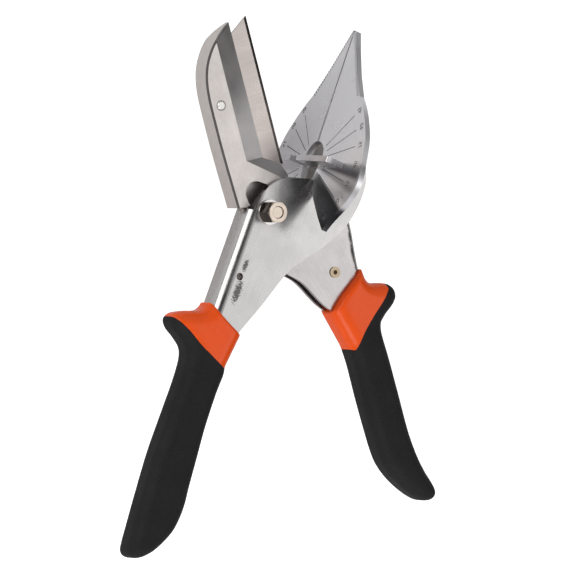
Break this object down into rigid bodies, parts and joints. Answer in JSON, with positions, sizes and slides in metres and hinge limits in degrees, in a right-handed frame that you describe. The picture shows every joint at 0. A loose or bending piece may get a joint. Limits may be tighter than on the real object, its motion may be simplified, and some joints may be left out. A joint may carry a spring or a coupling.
{
  "type": "mitre shears",
  "caption": "Hand shears whose straight blade closes into a slotted protractor table with a fence, for cutting trim square or at an angle.",
  "frame": {"origin": "below the middle of the tool's bounding box, at the level of its lowest point", "axes": "+Y from the grips towards the jaws, +Z along the pivot towards the nut, +X towards the blade lever's grip"},
  "size_m": [0.1408, 0.216, 0.0759],
  "materials": {
    "anvil_steel": "satin steel sheet, polished folds",
    "table_steel": "satin protractor table with dark engraved rays",
    "fence_steel": "satin",
    "bolt_steel": "bare steel",
    "washer_steel": "plated",
    "nut_steel": "dark burnished nut with a bare face",
    "washer_brass": "satin",
    "orange_plastic": "glossy orange",
    "black_rubber": "matte black",
    "lever_steel": "polished folded sheet",
    "holder_nickel": "warm nickel plate, dull",
    "blade_steel": "ground steel",
    "rivet_steel": "bare steel",
    "spring_steel": "bare spring wire"
  },
  "bodies": {
    "anvil_side": {"anvil_lever": "anvil_steel", "anvil_plate": "table_steel", "fence_front": "fence_steel", "fence_rear": "fence_steel", "pivot_bolt": "bolt_steel", "pivot_washer": "washer_steel", "pivot_nut": "nut_steel", "friction_washer_front": "washer_brass", "friction_washer_rear": "washer_brass", "anvil_collar": "orange_plastic", "anvil_grip": "black_rubber"},
    "blade_side": {"blade_lever": "lever_steel", "holder_body": "holder_nickel", "holder_cover": "holder_nickel", "blade": "blade_steel", "blade_pegs": "rivet_steel", "holder_rivet": "holder_nickel", "tongue_rivet": "rivet_steel", "lever_rivet": "rivet_steel", "pivot_bush": "washer_brass", "return_spring": "spring_steel", "blade_collar": "orange_plastic", "blade_grip": "black_rubber"}
  },
  "joints": [
    {"name": "pivot", "type": "hinge", "parent": "anvil_side", "child": "blade_side", "pos_m": [-0.008, 0.02941, 0.03796], "axis": [0, 0, 1], "range_deg": [-38.5, 0], "stiffness_Nm_per_rad": 0.6, "springref_deg": 20.05, "deforming": ["return_spring"]}
  ]
}
